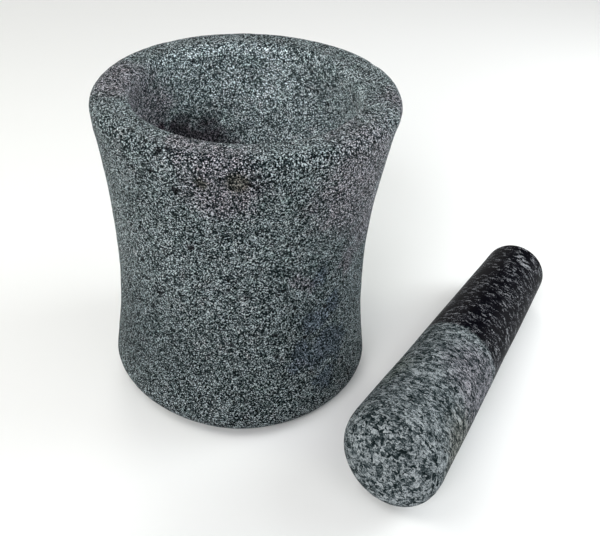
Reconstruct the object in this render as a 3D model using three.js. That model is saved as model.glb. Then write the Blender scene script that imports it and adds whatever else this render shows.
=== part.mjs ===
import * as THREE from 'three';

// A granite mortar with its loose pestle lying beside it.
// Millimetres, +Z up. The origin is the middle of the mortar's foot, on the surface that both
// pieces rest on. The mortar's front faces -Y.

// Mortar: one turned block with a waist, a flared rim and a round bowl.
const MORTAR_HEIGHT = 153.2;
const RIM_RADIUS = 70; // the widest place, at the rim's outer edge
const RIM_OUTER_EDGE = 5.5; // rounding between the wall and the rim's top
const RIM_INNER_EDGE = 5; // rounding between the rim's top and the bowl
const WAIST_RADIUS = 60.2;
const WAIST_HEIGHT = 62;
const WALL_BEND = 0.45; // how far up or down a wall stretch its curve's control point lies
const FOOT_RADIUS = 63.6; // the widest place at the foot
const FOOT_EDGE_WIDTH = 12.5; // rounded edge between the wall and the flat foot
const FOOT_EDGE_HEIGHT = 11;
const BOWL_RADIUS = 51.5;
const BOWL_DEPTH = 86;
const BOWL_FULLNESS = 2.3;

// Pestle: a straight tapered rod with a blunt domed head, worn aslant, and a rounded grip end.
const PESTLE_LENGTH = 199;
const HEAD_RADIUS = 24.3;
const HEAD_DOME = 18;
const HEAD_FULLNESS = 3;
const HEAD_SLANT = 0.143; // how much further one side of the head reaches, per unit across it
const SLANT_REACH = 30; // the length of shaft over which the slant fades out
const GRIP_RADIUS = 16.7;
const GRIP_DOME = 6.9;
const GRIP_FULLNESS = 2.1;

// Where the pestle lies: the tip of its head, and the way that its grip points, from +X to +Y.
const PESTLE_HEAD_X = 61.1;
const PESTLE_HEAD_Y = -108.9;
const PESTLE_TURN = THREE.MathUtils.degToRad(60.2);

// Facets. The counts round a piece are multiples of 4, so a row of corners lies on each axis.
const MORTAR_SIDES = 60;
const PESTLE_SIDES = 40;
const EDGE_STEPS = 4;
const WALL_STEPS = 6;
const BOWL_STEPS = 10;
const DOME_STEPS = 8;
const SLANT_STEPS = 5;

const stone = (color, roughness) => new THREE.MeshStandardMaterial({ color, roughness, metalness: 0 });

// Points on a superellipse between two angles, counted from straight out to straight up.
// A fullness of 2 is an ellipse, and more is squarer.
function curvedStretch({ centre, width, height, from, to, steps, fullness = 2 }) {
  const along = (wave) => Math.sign(wave) * Math.abs(wave) ** (2 / fullness);
  const points = [];
  for (let step = 0; step <= steps; step += 1) {
    const angle = THREE.MathUtils.lerp(from, to, step / steps);
    const radius = centre.x + width * along(Math.cos(angle));
    points.push(new THREE.Vector2(radius, centre.y + height * along(Math.sin(angle))));
  }
  return points;
}

// A solid of revolution about +Z from an outline of (radius, height) points that starts and ends
// on the axis. Points on the axis are set to it exactly, so that the body closes.
function turnedBody(name, outline, sides, material) {
  const nearAxis = 1e-6;
  const clean = outline.map((point) => new THREE.Vector2(point.x < nearAxis ? 0 : point.x, point.y));
  const geometry = new THREE.LatheGeometry(clean, sides);
  geometry.rotateX(Math.PI / 2);
  const body = new THREE.Mesh(geometry, material);
  body.name = name;
  return body;
}

// The wall between the waist and one end of the mortar: upright at the waist, leaning at the end.
function wallCurve(end) {
  const waist = new THREE.Vector2(WAIST_RADIUS, WAIST_HEIGHT);
  const bend = new THREE.Vector2(WAIST_RADIUS, THREE.MathUtils.lerp(waist.y, end.y, WALL_BEND));
  return new THREE.QuadraticBezierCurve(waist, bend, end);
}

// How far the wall leans from upright where it meets an edge whose rounding starts at `end`.
function wallLean(end) {
  const tangent = wallCurve(end).getTangent(1);
  return Math.atan2(Math.abs(tangent.x), Math.abs(tangent.y));
}

function mortarOutline() {
  const footCentre = new THREE.Vector2(FOOT_RADIUS - FOOT_EDGE_WIDTH, FOOT_EDGE_HEIGHT);
  const footLean = wallLean(new THREE.Vector2(FOOT_RADIUS, FOOT_EDGE_HEIGHT));
  const footEdge = curvedStretch({
    centre: footCentre,
    width: FOOT_EDGE_WIDTH,
    height: FOOT_EDGE_HEIGHT,
    from: -Math.PI / 2,
    to: footLean,
    steps: EDGE_STEPS,
  });
  const rimCentre = new THREE.Vector2(RIM_RADIUS - RIM_OUTER_EDGE, MORTAR_HEIGHT - RIM_OUTER_EDGE);
  const rimLean = wallLean(new THREE.Vector2(RIM_RADIUS, rimCentre.y));
  const rimOuterEdge = curvedStretch({
    centre: rimCentre,
    width: RIM_OUTER_EDGE,
    height: RIM_OUTER_EDGE,
    from: -rimLean,
    to: Math.PI / 2,
    steps: EDGE_STEPS,
  });
  const bowlTop = MORTAR_HEIGHT - RIM_INNER_EDGE;
  const rimInnerEdge = curvedStretch({
    centre: new THREE.Vector2(BOWL_RADIUS + RIM_INNER_EDGE, bowlTop),
    width: RIM_INNER_EDGE,
    height: RIM_INNER_EDGE,
    from: Math.PI / 2,
    to: Math.PI,
    steps: EDGE_STEPS,
  });
  const bowl = curvedStretch({
    centre: new THREE.Vector2(0, bowlTop),
    width: BOWL_RADIUS,
    height: BOWL_DEPTH - RIM_INNER_EDGE,
    from: 0,
    to: -Math.PI / 2,
    steps: BOWL_STEPS,
    fullness: BOWL_FULLNESS,
  });
  const lowerWall = wallCurve(footEdge.at(-1)).getPoints(WALL_STEPS).reverse();
  const upperWall = wallCurve(rimOuterEdge[0]).getPoints(WALL_STEPS);
  const footMiddle = new THREE.Vector2(0, 0);
  return [
    footMiddle,
    ...footEdge,
    ...lowerWall.slice(1),
    ...upperWall.slice(1),
    ...rimOuterEdge.slice(1),
    ...rimInnerEdge,
    ...bowl.slice(1),
  ];
}

// From the tip of the head, at height 0, to the tip of the grip.
function pestleOutline() {
  const head = curvedStretch({
    centre: new THREE.Vector2(0, HEAD_DOME),
    width: HEAD_RADIUS,
    height: HEAD_DOME,
    from: -Math.PI / 2,
    to: 0,
    steps: DOME_STEPS,
    fullness: HEAD_FULLNESS,
  });
  const grip = curvedStretch({
    centre: new THREE.Vector2(0, PESTLE_LENGTH - GRIP_DOME),
    width: GRIP_RADIUS,
    height: GRIP_DOME,
    from: 0,
    to: Math.PI / 2,
    steps: DOME_STEPS,
    fullness: GRIP_FULLNESS,
  });
  const slantedShaft = [];
  for (let step = 1; step <= SLANT_STEPS; step += 1) {
    const share = (SLANT_REACH * step) / SLANT_STEPS / (grip[0].y - HEAD_DOME);
    slantedShaft.push(head.at(-1).clone().lerp(grip[0], share));
  }
  return [...head, ...slantedShaft, ...grip];
}

// Leans the head's dome over, so that its +Y side reaches further than its -Y side.
function slantHead(pestle) {
  const places = pestle.geometry.attributes.position;
  for (let corner = 0; corner < places.count; corner += 1) {
    const along = places.getZ(corner);
    const faded = THREE.MathUtils.smoothstep(along, HEAD_DOME, HEAD_DOME + SLANT_REACH);
    places.setZ(corner, along + HEAD_SLANT * (1 - faded) * places.getY(corner));
  }
  pestle.geometry.computeVertexNormals();
  return pestle;
}

// Lays the pestle down on its tapered side, so that its lowest line touches the surface.
function layDown(pestle) {
  const shaftLength = PESTLE_LENGTH - HEAD_DOME - GRIP_DOME;
  const taper = Math.atan2(HEAD_RADIUS - GRIP_RADIUS, shaftLength);
  const sideRadiusAtHeadTip = HEAD_RADIUS + HEAD_DOME * Math.tan(taper);
  pestle.position.set(PESTLE_HEAD_X, PESTLE_HEAD_Y, sideRadiusAtHeadTip * Math.cos(taper));
  pestle.rotation.set(0, Math.PI / 2 + taper, PESTLE_TURN, 'ZYX');
  return pestle;
}

const mortar = turnedBody('mortar', mortarOutline(), MORTAR_SIDES, stone(0x687173, 0.85));
const pestle = slantHead(turnedBody('pestle', pestleOutline(), PESTLE_SIDES, stone(0x7b8283, 0.6)));

const mortarAndPestle = new THREE.Group();
mortarAndPestle.add(mortar, layDown(pestle));

export default mortarAndPestle;
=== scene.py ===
import math

import bpy
import numpy as np
from mathutils import Matrix, Vector, noise


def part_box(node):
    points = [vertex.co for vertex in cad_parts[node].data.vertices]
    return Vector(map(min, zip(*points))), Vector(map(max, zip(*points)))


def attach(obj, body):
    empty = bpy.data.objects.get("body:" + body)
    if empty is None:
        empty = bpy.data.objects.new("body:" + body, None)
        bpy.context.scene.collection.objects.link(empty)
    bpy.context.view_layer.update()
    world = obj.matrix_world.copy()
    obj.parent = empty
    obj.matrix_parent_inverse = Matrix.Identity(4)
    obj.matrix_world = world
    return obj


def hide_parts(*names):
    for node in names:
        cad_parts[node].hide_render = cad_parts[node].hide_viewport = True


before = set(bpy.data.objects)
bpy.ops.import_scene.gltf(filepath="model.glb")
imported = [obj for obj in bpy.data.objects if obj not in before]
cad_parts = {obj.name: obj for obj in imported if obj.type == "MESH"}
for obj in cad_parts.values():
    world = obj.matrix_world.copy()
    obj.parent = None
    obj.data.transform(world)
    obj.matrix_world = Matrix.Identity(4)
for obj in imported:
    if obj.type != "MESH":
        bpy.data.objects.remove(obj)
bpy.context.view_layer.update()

MM = 0.001

# ---------------------------------------------------------------------------
# Driving dimensions of the two stones, the same as the CAD model's.

MORTAR_HEIGHT = 153.2 * MM
RIM_RADIUS = 70 * MM
RIM_OUTER_EDGE = 5.5 * MM
RIM_INNER_EDGE = 5 * MM
WAIST_RADIUS = 60.2 * MM
WAIST_HEIGHT = 62 * MM
WALL_BEND = 0.45
FOOT_RADIUS = 63.6 * MM
FOOT_EDGE_WIDTH = 12.5 * MM
FOOT_EDGE_HEIGHT = 11 * MM
BOWL_RADIUS = 51.5 * MM
BOWL_DEPTH = 86 * MM
BOWL_FULLNESS = 2.3

PESTLE_LENGTH = 199 * MM
HEAD_RADIUS = 24.3 * MM
HEAD_DOME = 18 * MM
HEAD_FULLNESS = 3
HEAD_SLANT = 0.143
SLANT_REACH = 30 * MM
GRIP_RADIUS = 16.7 * MM
GRIP_DOME = 6.9 * MM
GRIP_FULLNESS = 2.1
PESTLE_TURN = 60.2  # degrees from +X, the way that the grip points

# The polish on the grip ends in a slightly slanted line.
POLISH_FROM = 93 * MM  # along the pestle from the head's tip
POLISH_SLANT = 0.15

# ---------------------------------------------------------------------------
# The camera: in front of the mortar and above it, looking down.

CAMERA_DISTANCE = 0.480  # from the mortar's middle
CAMERA_ELEVATION = 32.2  # degrees above the mortar's middle
CAMERA_PITCH = 34.255  # degrees down from level
CAMERA_PAN = 0.94  # degrees to the right
CAMERA_ROLL = 1.51  # degrees, which leans the picture to the right
CAMERA_LENS = 58.67  # millimetres
CAMERA_SENSOR = 36  # millimetres across
CAMERA_SHIFT = 0.075  # of the picture's width


def make_camera():
    low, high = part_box("mortar")
    middle = (low + high) / 2
    rise = math.radians(CAMERA_ELEVATION)
    lens = bpy.data.cameras.new("camera")
    lens.lens = CAMERA_LENS
    lens.sensor_width = CAMERA_SENSOR
    lens.shift_x = CAMERA_SHIFT
    lens.clip_start = 0.01
    camera = bpy.data.objects.new("camera", lens)
    bpy.context.scene.collection.objects.link(camera)
    stand = middle + CAMERA_DISTANCE * Vector((0, -math.cos(rise), math.sin(rise)))
    pan = Matrix.Rotation(-math.radians(CAMERA_PAN), 4, "Z")
    tilt = Matrix.Rotation(math.radians(90 - CAMERA_PITCH), 4, "X")
    roll = Matrix.Rotation(math.radians(CAMERA_ROLL), 4, "Z")
    camera.matrix_world = Matrix.Translation(stand) @ pan @ tilt @ roll
    bpy.context.scene.camera = camera


# ---------------------------------------------------------------------------
# The studio: a white floor, a pale horizon and soft lights. Azimuths are degrees from +X, so the
# front is -90.


def direction(azimuth, elevation):
    """A step of length 1 towards an azimuth and an elevation in degrees."""
    turn, rise = math.radians(azimuth), math.radians(elevation)
    out = math.cos(rise)
    return Vector((out * math.cos(turn), out * math.sin(turn), math.sin(rise)))


def place_light(data, away, distance):
    """A light that stands away from the stones and shines back at them."""
    stones_middle = Vector((0.03, 0, 0.07))
    light = bpy.data.objects.new(data.name, data)
    light.location = stones_middle + away * distance
    light.rotation_mode = "QUATERNION"
    light.rotation_quaternion = away.to_track_quat("Z", "Y")
    bpy.context.scene.collection.objects.link(light)


def far_light(name, azimuth, elevation, strength, colour=(1, 1, 1)):
    """A broad soft light from far off, which lights the whole floor alike."""
    width = 28  # degrees
    data = bpy.data.lights.new(name, "SUN")
    data.angle = math.radians(width)
    data.energy = strength
    data.color = colour
    place_light(data, direction(azimuth, elevation), distance=4.5)


def near_light(name, azimuth, elevation, watts, colour=(1, 1, 1), distance=0.6, size=0.35):
    """A square soft box close to the stones."""
    data = bpy.data.lights.new(name, "AREA")
    data.size = size
    data.energy = watts
    data.color = colour
    place_light(data, direction(azimuth, elevation), distance)


def make_floor():
    reach = 6.0
    paleness = 0.93
    mesh = bpy.data.meshes.new("floor")
    corners = [(-reach, -reach, 0), (reach, -reach, 0), (reach, reach, 0), (-reach, reach, 0)]
    mesh.from_pydata(corners, [], [(0, 1, 2, 3)])
    floor = bpy.data.objects.new("floor", mesh)
    bpy.context.scene.collection.objects.link(floor)
    white = bpy.data.materials.new("white_floor")
    white.use_nodes = True
    shader = white.node_tree.nodes["Principled BSDF"]
    shader.inputs["Base Color"].default_value = (paleness, paleness, paleness, 1)
    shader.inputs["Roughness"].default_value = 0.9
    mesh.materials.append(white)


def make_world():
    """Light from all round: pale at the horizon, dimmer overhead."""
    levels = ((12, 0.70), (30, 0.14))  # (elevation in degrees, brightness)
    world = bpy.data.worlds.new("studio")
    world.use_nodes = True
    nodes, links = world.node_tree.nodes, world.node_tree.links
    place = nodes.new("ShaderNodeTexCoord")
    parts = nodes.new("ShaderNodeSeparateXYZ")
    ramp = nodes.new("ShaderNodeValToRGB")
    links.new(place.outputs["Generated"], parts.inputs[0])
    links.new(parts.outputs["Z"], ramp.inputs["Fac"])
    links.new(ramp.outputs["Color"], nodes["Background"].inputs["Color"])
    for element, (elevation, brightness) in zip(ramp.color_ramp.elements, levels):
        element.position = math.sin(math.radians(elevation))
        element.color = (brightness, brightness, brightness, 1)
    bpy.context.scene.world = world


def make_studio():
    make_floor()
    make_world()
    far_light("key_front_left", -116, 32, 1.82)
    far_light("back", 95, 28, 0.80, (1.0, 0.99, 0.94))
    near_light("top_left", -150, 58, 1.1)
    near_light("top_right", -55, 62, 0.48)
    near_light("fill_right", 4, 32, 1.25, (0.94, 1.0, 1.0))
    near_light("edge_right", 14, 12, 1.5, (0.96, 1.0, 1.0), size=0.3)
    near_light("edge_left", 168, 18, 0.9, (0.96, 1.0, 0.76), distance=0.8, size=0.3)
    bpy.context.scene.view_settings.view_transform = "Standard"


# ---------------------------------------------------------------------------
# Outlines: (radius, height) points of a turned body, from its lowest point on the axis round to
# its last point on the axis.


def curved_stretch(centre, width, height, start, end, fullness=2, steps=60):
    """Points on a superellipse between two angles in degrees, from straight out to straight up."""
    angles = np.radians(np.linspace(start, end, steps))
    across = np.sign(np.cos(angles)) * np.abs(np.cos(angles)) ** (2 / fullness)
    up = np.sign(np.sin(angles)) * np.abs(np.sin(angles)) ** (2 / fullness)
    return np.stack([centre[0] + width * across, centre[1] + height * up], axis=1)


def wall_stretch(end, steps=60):
    """The wall from the waist, where it is upright, to a point where it leans."""
    waist = np.array([WAIST_RADIUS, WAIST_HEIGHT])
    bend = np.array([WAIST_RADIUS, WAIST_HEIGHT + WALL_BEND * (end[1] - WAIST_HEIGHT)])
    t = np.linspace(0, 1, steps)[:, None]
    return (1 - t) ** 2 * waist + 2 * (1 - t) * t * bend + t**2 * end


def wall_lean(end):
    """The wall's angle from upright at its end, in degrees."""
    run = abs(end[0] - WAIST_RADIUS)
    rise = abs(end[1] - WAIST_HEIGHT) * (1 - WALL_BEND)
    return math.degrees(math.atan2(run, rise))


def mortar_outline():
    foot_centre = np.array([FOOT_RADIUS - FOOT_EDGE_WIDTH, FOOT_EDGE_HEIGHT])
    foot_lean = wall_lean((FOOT_RADIUS, FOOT_EDGE_HEIGHT))
    foot_edge = curved_stretch(foot_centre, FOOT_EDGE_WIDTH, FOOT_EDGE_HEIGHT, -90, foot_lean)
    rim_centre = np.array([RIM_RADIUS - RIM_OUTER_EDGE, MORTAR_HEIGHT - RIM_OUTER_EDGE])
    rim_lean = wall_lean((RIM_RADIUS, rim_centre[1]))
    outer_edge = curved_stretch(rim_centre, RIM_OUTER_EDGE, RIM_OUTER_EDGE, -rim_lean, 90)
    bowl_top = MORTAR_HEIGHT - RIM_INNER_EDGE
    inner_centre = np.array([BOWL_RADIUS + RIM_INNER_EDGE, bowl_top])
    inner_edge = curved_stretch(inner_centre, RIM_INNER_EDGE, RIM_INNER_EDGE, 90, 180)
    bowl_height = BOWL_DEPTH - RIM_INNER_EDGE
    bowl = curved_stretch((0, bowl_top), BOWL_RADIUS, bowl_height, 0, -90, BOWL_FULLNESS)
    lower_wall = wall_stretch(foot_edge[-1])[::-1]
    upper_wall = wall_stretch(outer_edge[0])
    stretches = [foot_edge, lower_wall[1:], upper_wall[1:], outer_edge[1:], inner_edge, bowl[1:]]
    return np.concatenate([[[0, 0]], *stretches])


def pestle_outline():
    """From the head's tip at height 0 to the grip's tip."""
    head = curved_stretch((0, HEAD_DOME), HEAD_RADIUS, HEAD_DOME, -90, 0, HEAD_FULLNESS)
    grip_start = PESTLE_LENGTH - GRIP_DOME
    grip = curved_stretch((0, grip_start), GRIP_RADIUS, GRIP_DOME, 0, 90, GRIP_FULLNESS)
    return np.concatenate([head, grip])


def evenly_spaced(outline, spacing):
    """The same outline with points every `spacing` along it."""
    steps = np.linalg.norm(np.diff(outline, axis=0), axis=1)
    travelled = np.concatenate([[0], np.cumsum(steps)])
    places = np.linspace(0, travelled[-1], round(travelled[-1] / spacing) + 1)
    return np.stack([np.interp(places, travelled, outline[:, k]) for k in (0, 1)], axis=1)


# ---------------------------------------------------------------------------
# Skins and their relief.


def turned_skin(outline, sides):
    """(points, normals, faces) of a closed turned body round +Z. Row 0 and the last row are single
    points on the axis, and every row between them is a ring."""
    slope = np.gradient(outline, axis=0)
    across = np.stack([slope[:, 1], -slope[:, 0]], axis=1)
    across /= np.linalg.norm(across, axis=1)[:, None]
    turn = np.linspace(0, math.tau, sides, endpoint=False)
    around = np.stack([np.cos(turn), np.sin(turn)], axis=1)

    def body(rows):
        rings = [np.column_stack([row[0] * around, np.full(sides, row[1])]) for row in rows[1:-1]]
        return np.concatenate([[[0, 0, rows[0, 1]]], *rings, [[0, 0, rows[-1, 1]]]])

    faces = []
    rings = len(outline) - 2
    end = 1 + rings * sides
    for side in range(sides):
        after = (side + 1) % sides
        faces.append((0, 1 + after, 1 + side))
        for ring in range(rings - 1):
            low = 1 + ring * sides
            high = low + sides
            faces.append((low + side, low + after, high + after, high + side))
        faces.append((end, end - sides + side, end - sides + after))
    return body(outline), body(across), faces


def ripple(points, wavelength, seed):
    """Smooth noise from -1 to 1 at each point."""
    offset = Vector((seed * 7.31, seed * 3.17, seed * 5.73))
    return np.array([noise.noise(Vector(point / wavelength) + offset) for point in points])


def smooth_step(values, start, end):
    """0 before start, 1 after end, and a smooth rise between them."""
    share = np.clip((values - start) / (end - start), 0, 1)
    return share**2 * (3 - 2 * share)


def pitted(points, centres, radii, depths):
    """Round-bottomed pits, as negative heights."""
    height = np.zeros(len(points))
    for centre, radius, depth in zip(centres, radii, depths):
        away = np.linalg.norm(points - centre, axis=1) / radius
        height = np.minimum(height, -depth * np.clip(1 - away**2, 0, None) ** 2)
    return height


def scattered(points, weights, count, rng):
    """Some of the points, picked at random by weight."""
    return points[rng.choice(len(points), count, replace=False, p=weights / weights.sum())]


def stone_object(name, points, faces, material):
    mesh = bpy.data.meshes.new(name)
    mesh.from_pydata(points.tolist(), [], faces)
    mesh.shade_smooth()
    mesh.materials.append(material)
    stone = bpy.data.objects.new(name, mesh)
    bpy.context.scene.collection.objects.link(stone)
    return stone


def out_of_round(points):
    """How far the mortar's outside stands out from a true circle. The rim was worked out further at
    the back right, the waist lies a little to the left, and the foot is faintly four-sided."""
    angle = np.arctan2(points[:, 1], points[:, 0])
    height = points[:, 2]
    rim = 0.9 * MM * np.cos(angle - math.radians(20)) + 0.4 * MM * np.sin(2 * angle)
    waist = -0.4 * MM * np.cos(angle)
    foot = 0.6 * MM * np.cos(4 * angle)
    lip = smooth_step(height, MORTAR_HEIGHT - 15 * MM, MORTAR_HEIGHT - 4 * MM)
    middle = np.exp(-(((height - 85 * MM) / (30 * MM)) ** 2))
    base = 1 - smooth_step(height, FOOT_EDGE_HEIGHT, 4 * FOOT_EDGE_HEIGHT)
    radius = np.hypot(points[:, 0], points[:, 1])
    outside = smooth_step(radius, BOWL_RADIUS + RIM_INNER_EDGE, WAIST_RADIUS)
    return outside * (lip * rim + middle * waist + base * foot)


def mortar_relief(points, normals):
    pit_count, chip_count = 170, 12
    rng = np.random.default_rng(11)
    above_foot = np.clip(points[:, 2] / (4 * MM), 0, 1)
    radius = np.hypot(points[:, 0], points[:, 1])
    hand_finish = 0.20 * MM * ripple(points, 42 * MM, 1) + 0.12 * MM * ripple(points, 15 * MM, 2)
    hammer_marks = 0.08 * MM * ripple(points, 4.4 * MM, 3) + 0.06 * MM * ripple(points, 2.6 * MM, 4)
    pits = scattered(points, radius * (points[:, 2] > 6 * MM), pit_count, rng)
    pit_sizes = rng.uniform(1.3, 2.3, len(pits)) * MM
    pit_depths = rng.uniform(0.20, 0.45, len(pits)) * pit_sizes
    on_rim_edge = (radius > RIM_RADIUS - 3 * MM) & (normals[:, 2] > 0.4)
    chips = scattered(points, on_rim_edge.astype(float), chip_count, rng)
    chip_sizes = rng.uniform(2.5, 5.0, len(chips)) * MM
    chip_depths = rng.uniform(0.06, 0.12, len(chips)) * chip_sizes
    wear = pitted(points, pits, pit_sizes, pit_depths)
    wear += pitted(points, chips, chip_sizes, chip_depths)
    return above_foot * (hand_finish + hammer_marks + wear)


def make_mortar(material):
    skin_spacing = 1.25 * MM
    sides = 330
    points, normals, faces = turned_skin(evenly_spaced(mortar_outline(), skin_spacing), sides)
    outward = points * (1, 1, 0) / np.maximum(np.hypot(points[:, 0], points[:, 1]), MM)[:, None]
    uneven = outward * out_of_round(points)[:, None]
    worked = points + uneven + normals * mortar_relief(points, normals)[:, None]
    mortar = stone_object("mortar_stone", worked, faces, material)
    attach(mortar, "mortar")
    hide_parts("mortar")


def slanted_head(points):
    """The points with the head's dome leant over, so that its +Y side reaches further."""
    share = 1 - smooth_step(points[:, 2], HEAD_DOME, HEAD_DOME + SLANT_REACH)
    slanted = points.copy()
    slanted[:, 2] += HEAD_SLANT * share * points[:, 1]
    return slanted


def pestle_relief(points):
    pit_count = 90
    rng = np.random.default_rng(23)
    along = points[:, 2]
    rough = 1 - smooth_step(along, POLISH_FROM - 3 * MM, POLISH_FROM + 3 * MM)
    hand_finish = 0.22 * MM * ripple(points, 30 * MM, 5)
    honing = 0.05 * MM * ripple(points, 3.0 * MM, 6) + 0.03 * MM * ripple(points, 1.6 * MM, 7)
    pits = scattered(points, 0.05 + 0.95 * rough, pit_count, rng)
    pit_sizes = rng.uniform(0.9, 1.8, len(pits)) * MM
    pit_depths = rng.uniform(0.12, 0.3, len(pits)) * pit_sizes
    return hand_finish + (0.1 + 0.9 * rough) * (honing + pitted(points, pits, pit_sizes, pit_depths))


def pestle_turn():
    """The rotation that lays the pestle, whose own axis is +Z from its head, on its tapered side."""
    shaft = PESTLE_LENGTH - HEAD_DOME - GRIP_DOME
    taper = math.atan2(HEAD_RADIUS - GRIP_RADIUS, shaft)
    turn = Matrix.Rotation(math.radians(PESTLE_TURN), 3, "Z")
    return turn @ Matrix.Rotation(math.pi / 2 + taper, 3, "Y")


def pestle_shift():
    """Where the head's tip lies: the laid pestle fills the CAD pestle's box."""
    points, _, _ = turned_skin(evenly_spaced(pestle_outline(), MM), 120)
    laid = slanted_head(points) @ np.array(pestle_turn()).T
    return Vector(np.array(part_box("pestle")[0]) - laid.min(axis=0))


def make_pestle(material):
    skin_spacing = 0.72 * MM
    sides = 208
    points, normals, faces = turned_skin(evenly_spaced(pestle_outline(), skin_spacing), sides)
    worked = slanted_head(points + normals * pestle_relief(points)[:, None])
    pestle = stone_object("pestle_stone", worked, faces, material)
    pestle.data.transform(Matrix.Translation(pestle_shift()) @ pestle_turn().to_4x4())
    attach(pestle, "pestle")
    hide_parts("pestle")


# ---------------------------------------------------------------------------
# Materials. The painter keeps each node to one call.

FLAKE_SLANTS = ((10, -8, 0), (-18, 5, 60), (6, 22, 140))  # degrees about X, Y and Z


class Painter:
    """Adds nodes to a new material and links them as they are named."""

    def __init__(self, name):
        self.material = bpy.data.materials.new(name)
        self.material.use_nodes = True
        self.tree = self.material.node_tree
        self.shader = self.tree.nodes["Principled BSDF"]
        self.place = self.add("ShaderNodeTexCoord").outputs["Object"]

    def add(self, kind, settings=None, inputs=None):
        node = self.tree.nodes.new(kind)
        for key, value in (settings or {}).items():
            setattr(node, key, value)
        for key, value in (inputs or {}).items():
            self.feed(node.inputs[key], value)
        return node

    def feed(self, socket, value):
        if isinstance(value, bpy.types.NodeSocket):
            self.tree.links.new(value, socket)
        elif isinstance(value, tuple) and len(socket.default_value) == 4:
            socket.default_value = (*value, 1)
        else:
            socket.default_value = value

    def math(self, operation, *values):
        node = self.add("ShaderNodeMath", {"operation": operation}, dict(enumerate(values)))
        return node.outputs[0]

    def vector(self, operation, *values):
        node = self.add("ShaderNodeVectorMath", {"operation": operation}, dict(enumerate(values)))
        one_number = operation in ("LENGTH", "DISTANCE", "DOT_PRODUCT")
        return node.outputs["Value" if one_number else "Vector"]

    def weighted(self, shift, *parts):
        """The shift and each value times its weight, added up. The parts are (value, weight)."""
        total = shift
        for value, weight in parts:
            total = self.math("MULTIPLY_ADD", value, weight, total)
        return total

    def swing(self, value, size):
        """A value from 0 to 1, as one from half of `size` below zero to half above."""
        return self.weighted(-size / 2, (value, size))

    def noise(self, size, detail=2.0, roughness=0.5, place=None):
        """Noise from 0 to 1 with features of about `size` metres."""
        inputs = {
            "Vector": place or self.place,
            "Scale": 1 / size,
            "Detail": detail,
            "Roughness": roughness,
        }
        return self.add("ShaderNodeTexNoise", inputs=inputs).outputs["Fac"]

    def jittered(self, amount, size):
        """The place pushed about by noise, so that grain edges aren't straight."""
        inputs = {"Vector": self.place, "Scale": 1 / size, "Detail": 1.0}
        push = self.add("ShaderNodeTexNoise", inputs=inputs).outputs["Color"]
        centred = self.vector("SUBTRACT", push, (0.5, 0.5, 0.5))
        return self.vector("ADD", self.place, self.vector("MULTIPLY", centred, (amount,) * 3))

    def grains(self, size, place):
        """(a random number for each grain, the distance from its middle in metres)."""
        node = self.add("ShaderNodeTexVoronoi", inputs={"Vector": place, "Scale": 1 / size})
        pick = self.add("ShaderNodeSeparateColor", inputs={"Color": node.outputs["Color"]})
        return pick.outputs[0], self.math("MULTIPLY", node.outputs["Distance"], size)

    def turned(self, place, degrees, flatness):
        """The place turned, then stretched along its own Z, so that grains there are flat."""
        turn = tuple(math.radians(angle) for angle in degrees)
        inputs = {"Vector": place, "Rotation": turn}
        node = self.add("ShaderNodeMapping", {"vector_type": "POINT"}, inputs)
        return self.vector("MULTIPLY", node.outputs[0], (1.0, 1.0, 1 / flatness))

    def flakes(self, size, place, flatness):
        """A random number for each of many flat grains that overlap at three slants."""
        lightest = 0.0
        for degrees in FLAKE_SLANTS:
            pick, _ = self.grains(size, self.turned(place, degrees, flatness))
            lightest = self.math("MAXIMUM", lightest, pick)
        return lightest

    def ramp(self, value, stops):
        """Colours by value; stops are (position, colour)."""
        node = self.add("ShaderNodeValToRGB", inputs={"Fac": value})
        elements = node.color_ramp.elements
        while len(elements) < len(stops):
            elements.new(0.5)
        for element, (position, colour) in zip(elements, stops):
            element.position = position
            element.color = (*colour, 1)
        return node.outputs["Color"]

    def fade(self, value, start, end):
        """0 at `start` and 1 at `end`, smooth between them."""
        inputs = {"Value": value, "From Min": start, "From Max": end}
        return self.add("ShaderNodeMapRange", {"interpolation_type": "SMOOTHSTEP"}, inputs).outputs[0]

    def mix(self, share, first, second):
        node = self.add("ShaderNodeMix", {"data_type": "RGBA"})
        for socket, value in ((0, share), (6, first), (7, second)):
            self.feed(node.inputs[socket], value)
        return node.outputs[2]

    def tint(self, colour, share, factor):
        """The colour times the factor, as far as the share goes."""
        return self.mix(share, colour, self.vector("MULTIPLY", colour, factor))

    def shade(self, colour, share, times):
        """The colour made that many times as light, as far as the share goes."""
        return self.tint(colour, share, (times,) * 3)

    def spots(self, places, wander):
        """1 in soft-edged balls, given as (centre, radius), with edges that wander."""
        edge_start, edge_end = 0.55, 1.25
        total = None
        for centre, radius in places:
            away = self.math("ADD", self.vector("DISTANCE", self.place, centre), wander)
            spot = self.fade(away, radius * edge_end, radius * edge_start)
            total = spot if total is None else self.math("MAXIMUM", total, spot)
        return total

    def finish(self, colour, roughness, gloss, height, depth):
        """The finished material. The height, times the depth in metres, is its fine relief."""
        bump = self.add("ShaderNodeBump", inputs={"Height": height, "Distance": depth})
        self.feed(self.shader.inputs["Base Color"], colour)
        self.feed(self.shader.inputs["Roughness"], roughness)
        self.feed(self.shader.inputs["Specular IOR Level"], gloss)
        self.feed(self.shader.inputs["Normal"], bump.outputs[0])
        return self.material


# ---------------------------------------------------------------------------
# The mortar's granite.

# Colours by tone, from the darkest grains to the lightest.
MORTAR_SHADES = [
    (0.38, (0.0005, 0.0018, 0.0026)),
    (0.525, (0.0045, 0.0100, 0.0120)),
    (0.60, (0.041, 0.061, 0.066)),
    (0.675, (0.224, 0.278, 0.293)),
    (0.78, (0.620, 0.700, 0.728)),
]
STONE_FLOUR = (0.170, 0.205, 0.212)
# Painted shade for the insides of the pits and chips.
PAINTED_PIT_SHADE = (0.08, 0.08, 0.09)


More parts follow.
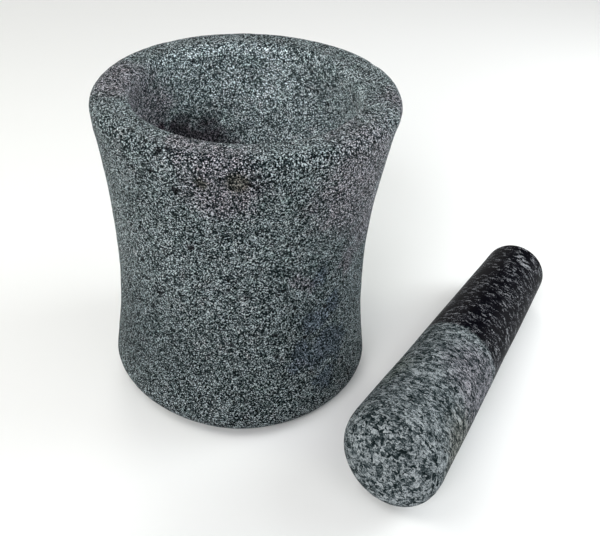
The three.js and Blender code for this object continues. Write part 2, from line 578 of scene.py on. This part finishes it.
def at(angle, radius, height):
    """A place by its angle from +X in degrees, and its radius and height in millimetres."""
    turn = math.radians(angle)
    return (radius * math.cos(turn) * MM, radius * math.sin(turn) * MM, height * MM)


# Marks on the mortar, as balls: (centre, radius).
MAUVE_STAINS = [
    (at(-97, 68, 141), 19 * MM),
    (at(-41, 66, 131), 28 * MM),
    (at(-26, 63, 102), 17 * MM),
    (at(-39, 61, 87), 7 * MM),
    (at(-63, 61, 85), 5 * MM),
    (at(172, 57, 150), 20 * MM),
    (at(158, 50, 128), 21 * MM),
    (at(-112, 60, 153), 11 * MM),
    (at(-8, 70, 146), 13 * MM),
]
BLUE_STAINS = [
    (at(-55, 60, 61), 9 * MM),
    (at(-47, 60, 43), 12 * MM),
    (at(-62, 60, 42), 9 * MM),
    (at(-50, 62, 24), 8 * MM),
    (at(-46, 60, 67), 6 * MM),
    (at(-55, 61, 88), 6 * MM),
]
# Painted shade: a darker band on the right of the wall, between the front and right lights, and a
# darker patch low on the left.
PAINTED_SHADE_SPOTS = [
    (at(-40, 60, 78), 36 * MM),
    (at(-138, 61, 45), 28 * MM),
]
BROWN_STAINS = [
    (at(-92, 69, 143), 5.5 * MM),
    (at(-104, 67, 141), 3.5 * MM),
]
# The first four balls are a painted shadow, cast by the rim into the bowl's back left; the last two
# are soil that darkens the bowl's bottom.
SOIL_AND_PAINTED_SHADOW = [
    (at(147, 51, 119), 4 * MM),
    (at(131, 49, 110), 10.5 * MM),
    (at(118, 48, 104), 14 * MM),
    (at(104, 46, 95), 14 * MM),
    (at(120, 30, 80), 30 * MM),
    (at(0, 0, 68), 32 * MM),
]
# Pits whose insides get painted shade.
DARK_PITS = [
    (at(-120, 68, 151.6), 2.0 * MM),
    (at(-114, 67.4, 135), 1.8 * MM),
    (at(-132, 68.5, 140), 1.3 * MM),
    (at(-123, 68.8, 142), 1.2 * MM),
    (at(-88, 69.0, 142.5), 1.3 * MM),
    (at(-85, 69.0, 141.2), 1.3 * MM),
    (at(-85, 69.8, 146), 1.1 * MM),
    (at(-110, 63, 106), 1.4 * MM),
    (at(-135, 63, 106.6), 1.1 * MM),
    (at(-136, 61.2, 88.3), 1.3 * MM),
    (at(-127, 60.4, 74.3), 1.2 * MM),
    (at(-75, 60.3, 58.7), 1.2 * MM),
    (at(-74, 60.6, 46.4), 1.2 * MM),
    (at(-50, 60.2, 66.5), 1.2 * MM),
    (at(-61, 60.3, 53.6), 1.1 * MM),
]

# Each group of soft stains and painted shade, and what it multiplies the colour by.
MORTAR_STAINS_AND_SHADE = [
    (MAUVE_STAINS, (1.10, 0.94, 0.99)),
    (BLUE_STAINS, (0.68, 0.71, 0.82)),
    (PAINTED_SHADE_SPOTS, (0.78, 0.79, 0.80)),
    (SOIL_AND_PAINTED_SHADOW, (0.31, 0.25, 0.28)),
]
BROWN = (0.52, 0.51, 0.42)


def hue_dust_and_painted_light(paint, stone):
    """The stone with its drifting hue, painted shade darker towards the foot, paler in the bowl with
    stone flour and on the rim, and painted light on the back of the bowl's mouth.
    """
    drift = paint.noise(7 * MM, detail=2.0, roughness=0.7)
    redder, greener = (1.08, 0.99, 0.99), (0.93, 1.00, 0.97)
    stone = paint.tint(stone, paint.fade(drift, 0.55, 0.75), redder)
    stone = paint.tint(stone, paint.fade(drift, 0.45, 0.25), greener)
    radius = paint.vector("LENGTH", paint.vector("MULTIPLY", paint.place, (1, 1, 0)))
    height = paint.add("ShaderNodeSeparateXYZ", inputs={"Vector": paint.place}).outputs["Z"]
    low_down = paint.fade(height, 100 * MM, 15 * MM)
    on_rim = paint.fade(height, MORTAR_HEIGHT - 5 * MM, MORTAR_HEIGHT - MM)
    in_bowl = paint.fade(radius, BOWL_RADIUS + 5 * MM, BOWL_RADIUS - 2 * MM)
    near_mouth = paint.math("MULTIPLY", in_bowl, paint.fade(height, 112 * MM, 136 * MM))
    towards_back = paint.vector("DOT_PRODUCT", paint.place, tuple(direction(100, 0)))
    back_of_mouth = paint.math("MULTIPLY", near_mouth, paint.fade(towards_back, 33 * MM, 47 * MM))
    # Painted shade: darker towards the foot.
    stone = paint.shade(stone, low_down, 0.8)
    stone = paint.shade(stone, in_bowl, 1.6)
    stone = paint.mix(paint.math("MULTIPLY", in_bowl, 0.12), stone, STONE_FLOUR)
    # Painted light: paler on the back of the bowl's mouth, where the light from the front falls.
    stone = paint.shade(stone, back_of_mouth, 1.5)
    return paint.shade(stone, on_rim, 1.1)


def stains_and_painted_shade(paint, stone):
    """The stone with its large soft stains, painted shade and painted shadow, and its small brown
    stains.
    """
    wander = paint.swing(paint.noise(9 * MM, detail=4.0, roughness=0.65), 26 * MM)
    for places, factor in MORTAR_STAINS_AND_SHADE:
        stone = paint.tint(stone, paint.spots(places, wander), factor)
    small_wander = paint.swing(paint.noise(2.5 * MM, detail=3.0), 4 * MM)
    return paint.tint(stone, paint.spots(BROWN_STAINS, small_wander), BROWN)


def holes_in(paint):
    """1 in the dark pits and in small chips all over, and 0 elsewhere."""
    pits = paint.spots(DARK_PITS, paint.swing(paint.noise(1.6 * MM), 3.2 * MM))
    pick, from_middle = paint.grains(4.2 * MM, paint.jittered(3.5 * MM, 2.5 * MM))
    is_chip = paint.fade(pick, 0.45, 0.5)
    chips = paint.math("MULTIPLY", is_chip, paint.fade(from_middle, 0.9 * MM, 0.5 * MM))
    return paint.math("MAXIMUM", pits, chips)


def mortar_granite():
    """Fine dark and light grains, with wear, stains and holes, and painted light and shade."""
    paint = Painter("honed_granite")
    grain, _ = paint.grains(0.44 * MM, paint.jittered(0.5 * MM, 0.8 * MM))
    flour = paint.noise(0.42 * MM, detail=1.0, roughness=0.6, place=paint.jittered(3 * MM, 4 * MM))
    clump = paint.noise(6 * MM, detail=3.0, roughness=0.6)
    tone = paint.weighted(-0.315, (flour, 0.9), (grain, 0.55), (clump, 0.18))
    stone = stains_and_painted_shade(paint, hue_dust_and_painted_light(paint, paint.ramp(tone, MORTAR_SHADES)))
    holes = holes_in(paint)
    # Painted shade in the pits and chips.
    stone = paint.tint(stone, holes, PAINTED_PIT_SHADE)
    roughness = paint.weighted(0.62, (flour, 0.2))
    relief = paint.weighted(0.0, (grain, 1.0), (flour, 1.0), (holes, -2.0))
    return paint.finish(stone, roughness, gloss=0.06, height=relief, depth=0.22 * MM)


# ---------------------------------------------------------------------------
# The pestle's granite. Places are in its own frame, with +Z along it from the head and -X upwards.

HONED_SHADES = [
    (0.28, (0.006, 0.010, 0.011)),
    (0.45, (0.022, 0.031, 0.034)),
    (0.54, (0.061, 0.076, 0.082)),
    (0.64, (0.182, 0.205, 0.217)),
    (0.80, (0.360, 0.392, 0.408)),
]
GRIP_SHADES = [
    (0.52, (0.0004, 0.0004, 0.0018)),
    (0.60, (0.0034, 0.0035, 0.0066)),
    (0.64, (0.085, 0.087, 0.098)),
    (0.75, (0.290, 0.297, 0.316)),
]
# (centre, radius) of the places on the grip where light laths crowd.
LIGHT_PATCHES = [
    ((-16.5 * MM, 2 * MM, 105 * MM), 3.5 * MM),
    ((-15.5 * MM, -6 * MM, 180 * MM), 5 * MM),
]
# (centre, radius, what the colour is multiplied by): a mauve stain; a brown stain, deepened as
# painted shade on the head's lower -Y side; and an olive tint, a painted warm reflection on the upper
# +Y side.
PESTLE_STAINS_AND_PAINTED_LIGHT = [
    ((-8 * MM, -20 * MM, 68 * MM), 24 * MM, (1.04, 0.92, 0.97)),
    ((4 * MM, -22 * MM, 32 * MM), 20 * MM, (0.94, 0.87, 0.78)),
    ((-8 * MM, 20 * MM, 50 * MM), 18 * MM, (0.99, 1.00, 0.92)),
]


def in_own_frame(paint):
    """The painter's place on the laid pestle, taken back to the pestle's own frame."""
    lie = {
        "Vector": paint.place,
        "Location": tuple(pestle_shift()),
        "Rotation": tuple(pestle_turn().to_euler()),
    }
    return paint.add("ShaderNodeMapping", {"vector_type": "TEXTURE"}, lie).outputs[0]


def polish(paint):
    """0 on the honed head and 1 on the polished grip, with an uneven line between them."""
    parts = paint.add("ShaderNodeSeparateXYZ", inputs={"Vector": paint.place}).outputs
    wander = paint.swing(paint.noise(4 * MM, detail=4.0, roughness=0.7), 14 * MM)
    line = paint.weighted(wander, (parts["Z"], 1.0), (parts["Y"], -POLISH_SLANT))
    return paint.fade(line, POLISH_FROM - 1.5 * MM, POLISH_FROM + 1.5 * MM)


def pestle_granite():
    """Light flakes in a dark ground, honed on the head and polished near black on the grip."""
    paint = Painter("flecked_granite")
    paint.place = in_own_frame(paint)
    loose = paint.jittered(3.2 * MM, 2.2 * MM)
    flakes = paint.flakes(1.9 * MM, loose, 0.36)
    laths = paint.flakes(3.2 * MM, loose, 0.28)
    mottle = paint.noise(0.6 * MM, detail=1.0, roughness=0.7)
    clump = paint.noise(5 * MM, detail=2.0, roughness=0.6)

    tone = paint.weighted(-0.5, (clump, 0.4), (mottle, 0.6), (flakes, 0.7))
    honed = paint.ramp(tone, HONED_SHADES)
    wander = paint.swing(clump, 16 * MM)
    # Stains, with painted shade on the -Y side and a painted reflection on the +Y side.
    for centre, radius, factor in PESTLE_STAINS_AND_PAINTED_LIGHT:
        honed = paint.tint(honed, paint.spots([(centre, radius)], wander), factor)

    crowded = paint.spots(LIGHT_PATCHES, paint.swing(mottle, 4 * MM))
    lath_tone = paint.weighted(-0.47, (clump, 0.2), (mottle, 0.45), (laths, 0.8), (crowded, 0.12))
    dark = paint.ramp(lath_tone, GRIP_SHADES)

    polished = polish(paint)
    stone = paint.mix(polished, honed, dark)
    roughness = paint.weighted(0.62, (polished, -0.20))
    relief = paint.math("MULTIPLY", tone, paint.weighted(1.0, (polished, -0.9)))
    return paint.finish(stone, roughness, gloss=0.01, height=relief, depth=0.15 * MM)


make_camera()
make_studio()
make_mortar(mortar_granite())
make_pestle(pestle_granite())
